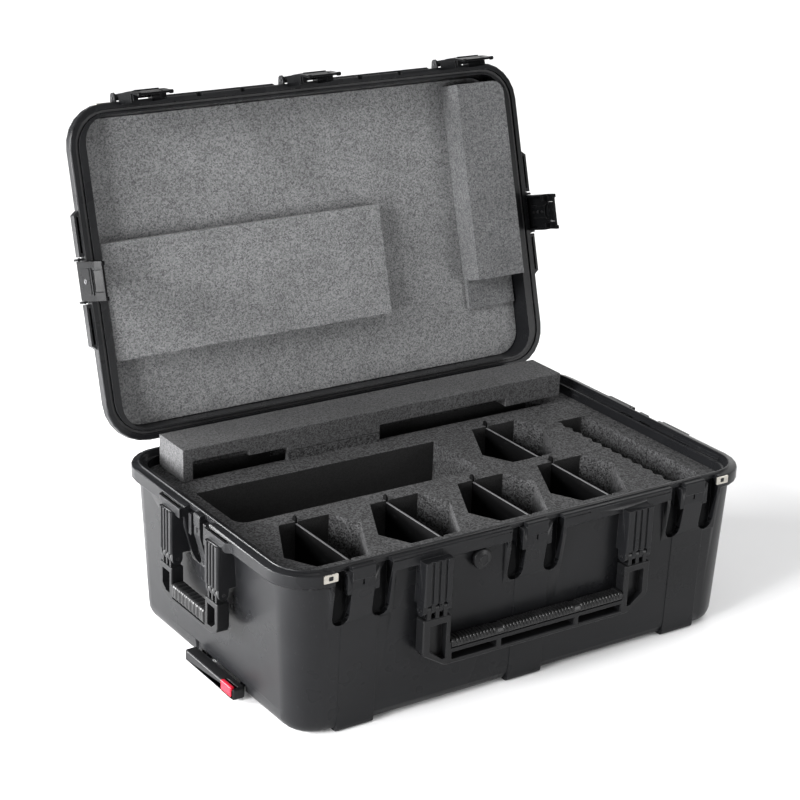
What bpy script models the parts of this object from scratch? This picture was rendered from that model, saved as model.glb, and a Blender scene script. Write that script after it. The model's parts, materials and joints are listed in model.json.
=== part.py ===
"""Wheeled hard case for a folding drone, with its lid open.

Metres, +Z up.  X runs along the case, the front with the long handle faces -Y, and the origin is
the centre of the footprint on the floor.  Sizes below are in millimetres and become metres where a
mesh is finished.  The lid and its latches are modelled shut and turned open about the hinge.
"""

import math

import bmesh
import bpy
from mathutils import Matrix, Vector

MM = 0.001
GAP = 0.3                     # play between pieces that touch

# Case outline: half length, half depth and corner radius of the rim, and the heights that matter.
RIM_X, RIM_Y, RIM_R = 395.0, 247.0, 62.0
BORE_X, BORE_Y, BORE_R = 369.0, 229.0, 39.0
RIM_LOW = 226.0
PARTING = 246.0
LID_RIM_TOP = 262.0
LID_TOP = 305.0
FLOOR_Z = 24.0
CORNER_STEPS = 6
BORE_SIDES = 8

# Lid hinge along the rear edge.
HINGE_Y, HINGE_Z = 256.0, 244.0
HINGE_R = 7.0
HINGE_PIN_R = 2.5
LID_OPEN = math.radians(105.8)
HINGE_STATIONS = (-235.0, 0.0, 235.0)

# Latches: three in front, one at each end, all alike.
FRONT_STATIONS = (-282.0, 0.0, 282.0)
SIDE_Y = 2.0
PIVOT_OUT, PIVOT_Z = 6.0, 256.0
LATCH_HALF = 28.5
LATCH_PIN_R = 1.9
EAR_IN, EAR_OUT = 29.2, 32.4

# Carrying handles: knuckles on the case and on the handle share slots along the pivot.
HANDLE_Z = 160.0
HANDLE_OUT = 4.0              # pivot beyond the rim's outer face
KNUCKLE_R = 8.0
HANDLE_PIN_R = 2.4
SLOTS = 7
FRONT_ARM = (149.0, 195.0)
SIDE_ARM = (48.0, 84.0)

# Trolley under the floor.
TROLLEY_Y = -24.0
TROLLEY_Z = 10.5
TUBE_Y = 48.0
OUTER_TUBE_R, INNER_TUBE_R = 7.0, 5.2

# Wheels at the right end.
WHEEL_X, WHEEL_Y, WHEEL_Z = 350.0, 165.0, 29.0
WHEEL_R, WHEEL_W = 27.0, 26.0
AXLE_R = 4.0

# Pressure valve in the front wall.
VALVE_X, VALVE_Z = -92.0, 210.5
VALVE_R, VALVE_STEM_R = 14.5, 9.0

# Foam.
FOAM_TOP = 226.0
POCKET_FLOOR = 45.0
CELLS = ((-265.0, -115.0), (-116.0, -115.0), (34.0, -115.0), (178.0, -115.0), (176.0, 50.0))
CELL = ((-29, 69), (52, 69), (75, 22), (30, -69), (-51, -69), (-75, -24))
DIVIDER_Y = (-72.0, 79.0)
REAR_Y = (148.0, 222.0)

COLOURS = {
    "shell": ((0.022, 0.023, 0.025), 0.48, 0.0),
    "latch": ((0.018, 0.018, 0.020), 0.42, 0.0),
    "handle": ((0.020, 0.021, 0.022), 0.40, 0.0),
    "grip": ((0.030, 0.030, 0.031), 0.62, 0.0),
    "gasket": ((0.050, 0.050, 0.050), 0.60, 0.0),
    "base_foam": ((0.045, 0.045, 0.046), 0.95, 0.0),
    "rear_foam": ((0.040, 0.040, 0.041), 0.92, 0.0),
    "lid_foam": ((0.130, 0.132, 0.135), 0.95, 0.0),
    "divider": ((0.035, 0.035, 0.037), 0.50, 0.0),
    "steel": ((0.60, 0.57, 0.50), 0.30, 1.0),
    "tube": ((0.55, 0.56, 0.57), 0.32, 1.0),
    "button": ((0.72, 0.03, 0.08), 0.35, 0.0),
    "wheel": ((0.025, 0.025, 0.026), 0.55, 0.0),
    "tyre": ((0.040, 0.040, 0.040), 0.75, 0.0),
}


# ---------------------------------------------------------------- scene and objects

for old in list(bpy.data.objects):
    bpy.data.objects.remove(old, do_unlink=True)

PARTS = bpy.data.collections.new("drone_carrying_case")
CUTTERS = bpy.data.collections.new("cutters")
bpy.context.scene.collection.children.link(PARTS)
bpy.context.scene.collection.children.link(CUTTERS)


def material(name):
    found = bpy.data.materials.get(name)
    if found:
        return found
    colour, roughness, metallic = COLOURS[name]
    made = bpy.data.materials.new(name)
    made.use_nodes = True
    shader = made.node_tree.nodes["Principled BSDF"]
    shader.inputs["Base Color"].default_value = (*colour, 1.0)
    shader.inputs["Roughness"].default_value = roughness
    shader.inputs["Metallic"].default_value = metallic
    return made


def pivot(name, matrix, parent=None):
    """An empty at a joint.  The matrix is in millimetres; a child's meshes use the pivot's axes."""
    empty = bpy.data.objects.new(name, None)
    empty.empty_display_size = 0.02
    PARTS.objects.link(empty)
    location, rotation, _ = matrix.decompose()
    empty.parent = parent
    empty.location = location * MM
    empty.rotation_euler = rotation.to_euler()
    return empty


def finish(bm, name, collection, parent):
    bmesh.ops.recalc_face_normals(bm, faces=bm.faces)
    bmesh.ops.scale(bm, vec=(MM, MM, MM), verts=bm.verts)
    mesh = bpy.data.meshes.new(name)
    bm.to_mesh(mesh)
    bm.free()
    obj = bpy.data.objects.new(name, mesh)
    collection.objects.link(obj)
    obj.parent = parent
    return obj


def part(name, bm, finish_name, parent=None):
    """A named sub-part from a bmesh in millimetres."""
    obj = finish(bm, name, PARTS, parent)
    obj.data.materials.append(material(finish_name))
    obj.data.set_sharp_from_angle(angle=math.radians(35))
    return obj


def combine(target, bm, operation, label):
    """Adds or removes a shape with an exact Boolean; the shape stays as a hidden cutter."""
    tool = finish(bm, f"{target.name}_{label}", CUTTERS, target.parent)
    tool.hide_render = True
    tool.display_type = "WIRE"
    modifier = target.modifiers.new(label, "BOOLEAN")
    modifier.operation = operation
    modifier.solver = "EXACT"
    modifier.object = tool


def add(target, bm, label):
    combine(target, bm, "UNION", label)


def cut(target, bm, label):
    combine(target, bm, "DIFFERENCE", label)


def soften(obj, width, segments=2):
    """Rounds the sharp edges of a simple piece."""
    modifier = obj.modifiers.new("round", "BEVEL")
    modifier.width = width * MM
    modifier.segments = segments
    modifier.limit_method = "ANGLE"
    modifier.angle_limit = math.radians(40)


# ---------------------------------------------------------------- shapes, in millimetres

def box(low, high):
    low, high = Vector(low), Vector(high)
    bm = bmesh.new()
    size = Matrix.Diagonal((*(high - low), 1.0))
    bmesh.ops.create_cube(bm, size=1.0, matrix=Matrix.Translation((low + high) / 2) @ size)
    return bm


def rod(start, end, radius, sides=12):
    """A round bar from one point to another."""
    start, end = Vector(start), Vector(end)
    along = end - start
    turn = Vector((0, 0, 1)).rotation_difference(along).to_matrix().to_4x4()
    bm = bmesh.new()
    bmesh.ops.create_cone(
        bm, cap_ends=True, segments=sides, radius1=radius, radius2=radius, depth=along.length,
        matrix=Matrix.Translation((start + end) / 2) @ turn)
    return bm


def tube(start, end, radius, bore, sides=16):
    """An open-ended tube: four rings joined round."""
    start, end = Vector(start), Vector(end)
    along = end - start
    turn = Vector((0, 0, 1)).rotation_difference(along).to_matrix()
    rings = []
    for centre, r in ((start, radius), (end, radius), (end, bore), (start, bore)):
        angles = [2 * math.pi * i / sides for i in range(sides)]
        rings.append([centre + turn @ Vector((r * math.cos(a), r * math.sin(a), 0)) for a in angles])
    return loft(rings, closed=True)


def loft(rings, closed=False):
    """Joins rings with the same number of points; open ends are capped."""
    bm = bmesh.new()
    loops = [[bm.verts.new(p) for p in ring] for ring in rings]
    count = len(loops[0])
    pairs = list(zip(loops, loops[1:]))
    if closed:
        pairs.append((loops[-1], loops[0]))
    for lower, upper in pairs:
        for i in range(count):
            j = (i + 1) % count
            bm.faces.new((lower[i], lower[j], upper[j], upper[i]))
    if not closed:
        bm.faces.new(list(reversed(loops[0])))
        bm.faces.new(loops[-1])
    return bm


def rounded(half_x, half_y, radius, z, steps=CORNER_STEPS):
    """A rectangle with round corners, seen from above."""
    points = []
    for quarter in range(4):
        sign_x = (1, -1, -1, 1)[quarter]
        sign_y = (1, 1, -1, -1)[quarter]
        for step in range(steps + 1):
            angle = math.pi / 2 * (quarter + step / steps)
            points.append(Vector((
                sign_x * (half_x - radius) + radius * math.cos(angle),
                sign_y * (half_y - radius) + radius * math.sin(angle), z)))
    return points


def shell(rows, closed=False):
    """A loft through rounded rectangles given as (half_x, half_y, radius, z)."""
    return loft([rounded(*row) for row in rows], closed)


def arc(centre, radius, start, end, steps):
    """Points on an arc, angles in degrees."""
    angles = [math.radians(start + (end - start) * i / steps) for i in range(steps + 1)]
    return [(centre[0] + radius * math.cos(a), centre[1] + radius * math.sin(a)) for a in angles]


def ring_of(centre, radius, sides):
    """A closed circle's points, for a bore."""
    return arc(centre, radius, 0, 360 - 360 / sides, sides - 1)


PLANES = {
    "XY": Matrix.Identity(4),
    "XZ": Matrix(((1, 0, 0, 0), (0, 0, -1, 0), (0, 1, 0, 0), (0, 0, 0, 1))),
    "YZ": Matrix(((0, 0, 1, 0), (1, 0, 0, 0), (0, 1, 0, 0), (0, 0, 0, 1))),
}


def plate(outline, low, high, plane="XY", holes=()):
    """A flat outline, with any holes, as thick as from low to high across its plane."""
    curve = bpy.data.curves.new("outline", "CURVE")
    curve.dimensions = "2D"
    curve.fill_mode = "BOTH"
    curve.extrude = (high - low) / 2
    for points in (outline, *holes):
        spline = curve.splines.new("POLY")
        spline.points.add(len(points) - 1)
        for place, (u, v) in zip(spline.points, points):
            place.co = (u, v, 0, 1)
        spline.use_cyclic_u = True
    drawn = bpy.data.objects.new("outline", curve)
    bpy.context.scene.collection.objects.link(drawn)
    evaluated = drawn.evaluated_get(bpy.context.evaluated_depsgraph_get())
    mesh = bpy.data.meshes.new_from_object(evaluated)
    bm = bmesh.new()
    bm.from_mesh(mesh)
    bpy.data.objects.remove(drawn)
    bpy.data.curves.remove(curve)
    bpy.data.meshes.remove(mesh)
    bmesh.ops.remove_doubles(bm, verts=bm.verts, dist=0.001)
    across = Matrix.Translation((0, 0, (low + high) / 2))
    if plane == "XZ":
        across = Matrix.Translation((0, 0, -(low + high) / 2))
    bmesh.ops.transform(bm, matrix=PLANES[plane] @ across, verts=bm.verts)
    return bm


def moved(bm, matrix):
    bmesh.ops.transform(bm, matrix=matrix, verts=bm.verts)
    return bm


def together(shapes):
    """Several separate shapes in one bmesh, to add or cut at once."""
    joined = bmesh.new()
    for bm in shapes:
        mesh = bpy.data.meshes.new("scratch")
        bm.to_mesh(mesh)
        bm.free()
        joined.from_mesh(mesh)
        bpy.data.meshes.remove(mesh)
    return joined


def mirrored(make):
    """Two shapes from a function of the side, -1 or +1."""
    return [make(side) for side in (-1, 1)]


def span(a, b):
    return min(a, b), max(a, b)


def side_box(side, x_range, y_range, z_range):
    """A box on the side of x = 0 that side (-1 or +1) names; x_range is given for +1."""
    low, high = span(side * x_range[0], side * x_range[1])
    return box((low, y_range[0], z_range[0]), (high, y_range[1], z_range[1]))


# ---------------------------------------------------------------- stations on the rim

def front_frame(x):
    """Local axes at the rim: X along the wall, -Y outwards, Z up, y = 0 on the rim's outer face."""
    return Matrix.Translation((x, -RIM_Y, 0))


def side_frame(side):
    """The same at an end of the case: side is -1 for the left end and +1 for the right."""
    return Matrix.Translation((side * RIM_X, SIDE_Y, 0)) @ Matrix.Rotation(side * math.pi / 2, 4, "Z")


# Each station: its frame, half width of its raised panel, where its two grooves lie, how far in the
# wall's outer face is (at the rim and at the panel's foot), and the groove's floor.
FRONT = {"panel": 50.0, "groove": 31.0, "wall": (7.5, 9.3), "floor": 15.5}
SIDE = {"panel": 40.0, "groove": 22.0, "wall": (12.0, 15.6), "floor": 21.5}
STATIONS = [(front_frame(x), FRONT) for x in FRONT_STATIONS]
STATIONS += [(side_frame(side), SIDE) for side in (-1, 1)]
GROOVE_R = 13.5
GROOVE_FOOT = 162.0


def panel(frame, kind):
    """Wall that ramps out to the rim's face where a latch sits."""
    deep = kind["wall"][1] + 3
    profile = [(deep, 156), (kind["wall"][1] - 0.2, 161), (0.8, 214), (0.8, 240), (deep, 240)]
    return moved(plate(profile, -kind["panel"], kind["panel"], "YZ"), frame)


def grooves(frame, kind):
    """Two round-footed grooves that give fingers room at a latch's sides."""
    shapes = []
    for side in (-1, 1):
        x = side * kind["groove"]
        foot = arc((x, GROOVE_FOOT + GROOVE_R), GROOVE_R, 180, 360, 6)
        outline = foot + [(x + GROOVE_R, 240.3), (x - GROOVE_R, 240.3)]
        shapes.append(moved(plate(outline, -6, kind["floor"], "XZ"), frame))
    return together(shapes)


def rim_openings(frame, kind):
    """The rim's outer band opened above each groove, up to its tongue."""
    shapes = []
    for side in (-1, 1):
        x = side * kind["groove"]
        shapes.append(moved(box((x - GROOVE_R + 0.5, -6, 236), (x + GROOVE_R - 0.5, 9.2, 250)), frame))
    return together(shapes)


def rim_slots():
    """Long shallow slots along the front rim, next to the grooves and between the stations."""
    shapes = []
    for x in FRONT_STATIONS:
        for side in (-1, 1):
            low, high = span(x + side * 46.0, x + side * 91.0)
            if max(abs(low), abs(high)) < max(FRONT_STATIONS):
                shapes.append(box((low, -RIM_Y - 1, 239.0), (high, -RIM_Y + 1.3, 241.1)))
    return shapes


def lid_bands():
    """The lid's front rim, thicker between the stations."""
    outline = [(47, 3), (47, 0), (51, -2.6), (231, -2.6), (235, 0), (235, 3)]
    shapes = []
    for side in (-1, 1):
        corners = [(side * x, y - RIM_Y) for x, y in outline]
        shapes.append(plate(corners, 249.8, 261.4, "XY"))
    return shapes


def strikes(frame, kind):
    """The two tongues that a latch's hooks catch."""
    depth = (1.0, kind["floor"] + 1.5)
    tongues = mirrored(lambda side: side_box(side, (17.2, 24.6), depth, (208, 239)))
    return moved(together(tongues), frame)


# ---------------------------------------------------------------- handle knuckles

def slot(arm, index):
    """The x range of one knuckle slot across an arm."""
    width = (arm[1] - arm[0]) / SLOTS
    return arm[0] + index * width, arm[0] + (index + 1) * width


def knuckle(x_low, x_high, reach):
    """A rounded knuckle about the X axis that reaches up (+) or down (-) to its arm."""
    toward = 1 if reach > 0 else -1
    start = 180 if toward > 0 else 0
    outline = arc((0, 0), KNUCKLE_R, start, start + 180, 6)
    outline += [(toward * KNUCKLE_R, reach), (-toward * KNUCKLE_R, reach)]
    bore = ring_of((0, 0), HANDLE_PIN_R + GAP, BORE_SIDES)
    return plate(outline, x_low, x_high, "YZ", holes=(bore,))


def knuckles(arm, indices, reach, play):
    shapes = []
    for side in (-1, 1):
        for index in indices:
            low, high = span(*(side * x for x in slot(arm, index)))
            shapes.append(knuckle(low + play, high - play, reach))
    return together(shapes)


def bracket(arm, side, back):
    """Fluted bracket above the knuckles, in the handle's axes."""
    low, high = span(side * arm[0], side * arm[1])
    width = high - low
    face = -KNUCKLE_R - 2.5
    points = [(low, back), (low, face + 2), (low + 2, face)]
    for flute in (0.27, 0.5, 0.73):
        x = low + flute * width
        points += [(x - 2.6, face), (x - 1.6, face + 2.4), (x + 1.6, face + 2.4), (x + 2.6, face)]
    points += [(high - 2, face), (high, face + 2), (high, back)]
    return plate(points, 9.0, RIM_LOW + 6 - HANDLE_Z, "XY")


def handle_frame(base):
    return base @ Matrix.Translation((0, -HANDLE_OUT, HANDLE_Z))


HANDLES = {
    "front": (handle_frame(front_frame(0)), FRONT_ARM, FRONT),
    "left": (handle_frame(side_frame(-1)), SIDE_ARM, SIDE),
    "right": (handle_frame(side_frame(1)), SIDE_ARM, SIDE),
}


# ---------------------------------------------------------------- base shell

def base_rows():
    """Underside pocket, rounded foot, tapered wall, rim with its tongue, then down the inside."""
    return [
        (334, 197, 18, 19), (338, 201, 20, 3),
        (354, 217, 31, 3), (362, 225, 38, 4.5), (366.4, 229.2, 43, 8.5), (369.6, 232.1, 46, 16),
        (371, 233.3, 48, 28),
        (383, 239.5, 54, RIM_LOW),
        (RIM_X - 1, RIM_Y - 1, RIM_R - 1, RIM_LOW), (RIM_X, RIM_Y, RIM_R, RIM_LOW + 1.5),
        (RIM_X, RIM_Y, RIM_R, 243.5), (RIM_X - 1.5, RIM_Y - 1.5, RIM_R - 1.5, PARTING - 0.2),
        (385, 237, 52, PARTING - 0.2), (384.6, 236.6, 52, 248.6),
        (382.4, 234.4, 50, 248.6), (382, 234, 49, PARTING - 0.2),
        (377, 232.5, 45, PARTING - 0.2), (376.6, 232.1, 45, 240),
        (BORE_X + 0.8, BORE_Y + 0.6, BORE_R, 240), (BORE_X, BORE_Y, BORE_R, 239),
        (BORE_X, BORE_Y, BORE_R, 200), (365.5, 227.5, 36, 40), (363.5, 226, 34, 28),
        (358, 220, 28, FLOOR_Z),
    ]


def base_hinge_knuckle(x_low, x_high):
    """Round knuckle with a web down to the base's rim."""
    ring = arc((HINGE_Y, HINGE_Z), HINGE_R, -90, 150, 7)
    outline = [(RIM_Y - 4, 234.0)] + ring + [(RIM_Y - 4, 243.0)]
    bore = ring_of((HINGE_Y, HINGE_Z), HINGE_PIN_R + GAP, BORE_SIDES)
    return plate(outline, x_low, x_high, "YZ", holes=(bore,))


def lid_hinge_knuckle(x_low, x_high):
    """Round knuckle with a web up to the lid's rim, clear of the base's rim when shut."""
    ring = arc((HINGE_Y, HINGE_Z), HINGE_R, 200, 450, 7)
    outline = [(RIM_Y - 4, 250.6), (RIM_Y - 4, 246.9), (RIM_Y + 0.9, 246.9)] + ring
    bore = ring_of((HINGE_Y, HINGE_Z), HINGE_PIN_R + GAP, BORE_SIDES)
    return plate(outline, x_low, x_high, "YZ", holes=(bore,))


HINGE_HALF = 36.0
HINGE_MIDDLE = 17.0


def hinge_pieces(make, outer):
    shapes = []
    for x in HINGE_STATIONS:
        if outer:
            shapes.append(make(x - HINGE_HALF, x - HINGE_MIDDLE - 0.4))
            shapes.append(make(x + HINGE_MIDDLE + 0.4, x + HINGE_HALF))
        else:
            shapes.append(make(x - HINGE_MIDDLE, x + HINGE_MIDDLE))
    return together(shapes)


def side_rails(side, z_low, z_high):
    """Bumpers that stand off the rim to either side of an end latch."""
    frame = side_frame(side)
    shapes = []
    for way in (-1, 1):
        outline = [(way * 34.5, 3), (way * 34.5, -8), (way * 95, -8), (way * 101, 0), (way * 101, 3)]
        shapes.append(moved(plate(outline, z_low, z_high, "XY"), frame))
    return together(shapes)


def rail_slots(side, z_low, z_high):
    """The narrow slot behind each bumper."""
    shapes = mirrored(lambda way: side_box(way, (40, 93), (-4.6, -1.0), (z_low, z_high)))
    return moved(together(shapes), side_frame(side))


def wheel_boxes(x_range, half, z_range):
    """The same box about each wheel."""
    shapes = []
    for side in (-1, 1):
        y = side * WHEEL_Y
        shapes.append(box((x_range[0], y - half, z_range[0]), (x_range[1], y + half, z_range[1])))
    return shapes


def axle(side, half, radius):
    y = side * WHEEL_Y
    return rod((WHEEL_X, y - half, WHEEL_Z), (WHEEL_X, y + half, WHEEL_Z), radius)


def runner(x):
    """A skid across the underside that turns up at both ends into a band on the wall."""
    under = [(-226, 0), (-230.2, 0.9), (-232.4, 3.2), (-233.4, 7)]
    band = [(-234.0, 28), (-238.3, 166), (-235.2, 166), (-231.0, 30), (-229, 21)]
    end = under + band
    return plate(end + [(-y, z) for y, z in reversed(end)], x - 29, x + 29, "YZ")


def build_base():
    base = part("base_shell", shell(base_rows()), "shell")
    runners = [runner(x) for x in FRONT_STATIONS]
    humps = wheel_boxes((311, 366.5), 21.5, (20, 65))
    add(base, together(runners + humps), "runners")
    hollows = []
    for x in FRONT_STATIONS:
        for y_low, y_high in ((-222, TROLLEY_Y - 66), (TROLLEY_Y + 66, 222)):
            hollows.append(box((x - 22, y_low, -3), (x + 22, y_high, 17.5)))
    cut(base, together(hollows), "runner_hollows")
    add(base, together([panel(*station) for station in STATIONS]), "panels")
    cut(base, together(rim_slots()), "rim_slots")
    for label, (frame, arm, kind) in HANDLES.items():
        back = kind["wall"][1] + HANDLE_OUT + 3
        brackets = together([bracket(arm, side, back) for side in (-1, 1)])
        add(base, moved(brackets, frame), label + "_brackets")
        add(base, moved(knuckles(arm, (0, 2, 4, 6), 10.0, 0.0), frame), label + "_knuckles")
    add(base, hinge_pieces(base_hinge_knuckle, True), "hinge_knuckles")
    for side, label in ((-1, "left"), (1, "right")):
        add(base, side_rails(side, 228.5, 242.5), label + "_rails")
        cut(base, rail_slots(side, 233.0, 250.0), label + "_rail_slots")
    cut(base, together([grooves(*station) for station in STATIONS]), "grooves")
    cut(base, together([rim_openings(*station) for station in STATIONS]), "rim_openings")
    add(base, together([strikes(*station) for station in STATIONS]), "strikes")
    keyholes = [moved(box((-1.6, -2, 218), (1.6, 4, 226)), frame) for frame, _ in STATIONS]
    cut(base, together(keyholes), "keyholes")
    cut(base, box((-378, TROLLEY_Y - 62, -3), (122, TROLLEY_Y + 62, 18.2)), "trolley_bay")
    cut(base, box((-402, TROLLEY_Y - 75, -3), (-367, TROLLEY_Y + 75, 30)), "trolley_recess")
    cut(base, together(wheel_boxes((316, 402), 16.0, (-3, 60))), "wheel_wells")
    cut(base, together([axle(side, 19.2, AXLE_R + GAP) for side in (-1, 1)]), "axle_seats")
    seat = rod((VALVE_X, -RIM_Y, VALVE_Z), (VALVE_X, -RIM_Y + 14, VALVE_Z), VALVE_STEM_R + GAP, 16)
    cut(base, seat, "valve_seat")


def build_valve():
    """Pressure valve: a tall domed cap with a turned edge on a stem in the front wall."""
    wall = -RIM_Y + 7.5
    profile = [(0.001, 10.4), (5, 10.3), (9.5, 9.7), (VALVE_R - 1.5, 8.6), (VALVE_R, 7.0), (VALVE_R, 0),
               (VALVE_STEM_R, 0), (VALVE_STEM_R, -5), (0.001, -5)]
    rings = []
    for radius, out in profile:
        circle = ring_of((VALVE_X, VALVE_Z), radius, 24)
        rings.append([Vector((x, wall - GAP - out, z)) for x, z in circle])
    part("pressure_valve", loft(rings), "latch")


def build_hasps():
    """Steel plates round the padlock holes at the front corners of base and lid."""
    for side, label in ((-1, "left"), (1, "right")):
        x = side * 333.0
        front, back = -RIM_Y - 2.6, -RIM_Y - GAP
        for name, low, high, make in (("base", 232.5, 244.4, part), ("lid", 248.5, 259.5, lid_part)):
            make(f"{name}_hasp_{label}", box((x - 11, front, low), (x + 11, back, high)), "steel")


# ---------------------------------------------------------------- lid shell

LID = pivot("lid_pivot", Matrix.Translation((0, HINGE_Y, HINGE_Z)) @ Matrix.Rotation(-LID_OPEN, 4, "X"))
FROM_HINGE = Matrix.Translation((0, -HINGE_Y, -HINGE_Z))


def lid_part(name, bm, finish_name):
    """A piece of the lid, drawn where it lies when the lid is shut."""
    return part(name, moved(bm, FROM_HINGE), finish_name, LID)


def lid_rows():
    """Down the inside from the roof, round the rim with its gasket groove, and up the outside."""
    return [
        (360, 220, 32, 299.8), (365.5, 225.6, 37, 297.5), (BORE_X, BORE_Y, BORE_R, 252),
        (BORE_X + 0.4, BORE_Y + 0.4, BORE_R, PARTING + 0.2),
        (380.9, 232.9, 49, PARTING + 0.2), (380.9, 232.9, 49, 252.2),
        (386.1, 238.1, 53, 252.2), (386.1, 238.1, 53, PARTING + 0.2),
        (RIM_X - 1.5, RIM_Y - 1.5, RIM_R - 1.5, PARTING + 0.2), (RIM_X, RIM_Y, RIM_R, 248),
        (RIM_X, RIM_Y, RIM_R, 260.5), (RIM_X - 1.5, RIM_Y - 1.5, RIM_R - 1.5, LID_RIM_TOP),
        (383, 239.5, 54, LID_RIM_TOP), (377, 235, 50, 288), (373, 231.5, 47, 296), (367, 226, 42, 301.5),
        (356, 215, 32, LID_TOP),
    ]


def ears(frame):
    """Two ears that carry a latch pin."""
    profile = [(3, 249), (-11, 250.5), (-13.5, 254), (-13.5, 258), (-11, 261.5), (3, 267)]
    profile = [(y, min(z, LID_RIM_TOP + 4)) for y, z in profile]
    return together(mirrored(lambda side: moved(
        plate(profile, *span(side * EAR_IN, side * EAR_OUT), "YZ"), frame)))


def build_lid():
    lid = lid_part("lid_shell", shell(lid_rows()), "shell")
    frames = [frame for frame, _ in STATIONS]
    add(lid, moved(together([ears(frame) for frame in frames]), FROM_HINGE), "ears")
    add(lid, moved(hinge_pieces(lid_hinge_knuckle, False), FROM_HINGE), "hinge_knuckles")
    for side, label in ((-1, "left"), (1, "right")):
        add(lid, moved(side_rails(side, 248.5, 261.0), FROM_HINGE), label + "_rails")
        cut(lid, moved(rail_slots(side, 240.0, 257.0), FROM_HINGE), label + "_rail_slots")
    add(lid, moved(together(lid_bands()), FROM_HINGE), "bands")
    bores = [moved(rod((-34, -PIVOT_OUT, PIVOT_Z), (34, -PIVOT_OUT, PIVOT_Z), LATCH_PIN_R + GAP, 10), frame)
             for frame in frames]
    cut(lid, moved(together(bores), FROM_HINGE), "pin_bores")
    notches = [box((x - 4.5, -RIM_Y - 4, 240), (x + 4.5, -RIM_Y + 5, 252.5)) for x in (-178, -104, 104, 178)]
    cut(lid, moved(together(notches), FROM_HINGE), "rim_notches")
    lines = [box((-300, y - 5, LID_TOP - 1.6), (300, y + 5, LID_TOP + 3)) for y in (-150, -90, 90, 150)]
    cut(lid, moved(together(lines), FROM_HINGE), "roof_lines")
    ring = [(385.4, 237.4, 52.5, 249.2), (385.4, 237.4, 52.5, 251.9), (381.6, 233.6, 49.5, 251.9),
            (381.6, 233.6, 49.5, 249.2)]
    lid_part("lid_gasket", shell(ring, closed=True), "gasket")


def build_hinge_pins():
    for x, label in zip(HINGE_STATIONS, ("left", "middle", "right")):
        ends = [(x + way * HINGE_HALF, HINGE_Y, HINGE_Z) for way in (-1, 1)]
        part(f"hinge_pin_{label}", rod(*ends, HINGE_PIN_R), "tube")


# ---------------------------------------------------------------- latches

def latch_profile_body():
    """Front plate, barrel round the pin and a pull that leans in, as one outline seen from the side."""
    barrel = arc((0, 0), 4.4, -60, 200, 10)
    return [(-1.6, -12)] + barrel + [
        (-5.0, -4), (-5.2, -50), (-3.4, -60), (-0.2, -76), (3.2, -76), (0.6, -64), (-1.6, -54)]


def build_latch(name, frame):
    """One latch about its pin: X along the pin, -Y outwards, hanging down over the strikes."""
    hinge = pivot(f"{name}_pivot", FROM_HINGE @ frame @ Matrix.Translation((0, -PIVOT_OUT, PIVOT_Z)), LID)
    body = part(name, plate(latch_profile_body(), -LATCH_HALF, LATCH_HALF, "YZ"), "latch", hinge)
    legs = mirrored(lambda side: side_box(side, (25.3, LATCH_HALF), (-2.4, 11), (-54, -12)))
    hooks = mirrored(lambda side: side_box(side, (18.3, 26), (-2.4, 9), (-56.5, -49.8)))
    add(body, together(legs), "legs")
    add(body, together(hooks), "hooks")
    cut(body, rod((-40, 0, 0), (40, 0, 0), LATCH_PIN_R + GAP, 10), "pin_bore")
    cut(body, box((-16, -20, -72.5), (16, 20, -52)), "window")
    cut(body, box((-2.2, -20, -30), (2.2, 20, -24)), "lock_hole")
    part(f"{name}_pin", rod((-EAR_OUT - 1.2, 0, 0), (EAR_OUT + 1.2, 0, 0), LATCH_PIN_R, 12), "steel", hinge)
    press = pivot(f"{name}_trigger_pivot", Matrix.Translation((0, -3.2, -54)), hinge)
    outline = [(5.4, -17.2), (3.4, -17.2), (1.4, -9), (-1.0, -2.5), (-1.2, 0.4), (-0.8, 1.3), (0.8, 1.3),
               (1.4, 0.4), (3.6, -9)]
    part(f"{name}_trigger", plate(outline, -15.5, 15.5, "YZ"), "latch", press)


LATCHES = [(f"latch_front_{label}", front_frame(x))
           for x, label in zip(FRONT_STATIONS, ("left", "middle", "right"))]
LATCHES += [("latch_left", side_frame(-1)), ("latch_right", side_frame(1))]


# ---------------------------------------------------------------- handles

def front_handle_outline():
    """Arms, grip bar, slots and bottom rail of the long handle, seen from the front."""
    wide, narrow, low = FRONT_ARM[1] - 0.5, FRONT_ARM[0] + 0.5, -87.0
    right = [(narrow, -54), (narrow, -12), (wide, -12), (wide, -62), (wide - 3, -66), (160, -85.5),
             (154, low)]
    left = [(-x, z) for x, z in reversed(right)]
    holes = []
    for a, b in ((-146, -71), (-63, 63), (71, 146)):
        holes.append([(a, -70.8), (b, -70.8), (b, -81.0), (a, -81.0)])
    return right + left, holes


def arm_pocket(side, points):
    """Deep pocket in an arm of a handle, its points given for the +X arm."""
    return plate([(side * x, z) for x, z in points], -14, 2.0, "XZ")


def grip_seat(half, low):
    """Front and back of the bar, cut back so that the grip wraps it."""
    shapes = []
    for y_low, y_high in ((-14, -5.3), (5.3, 14)):
        shapes.append(box((-half, y_low, low), (half, y_high, low + 30)))
    return together(shapes)


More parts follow.
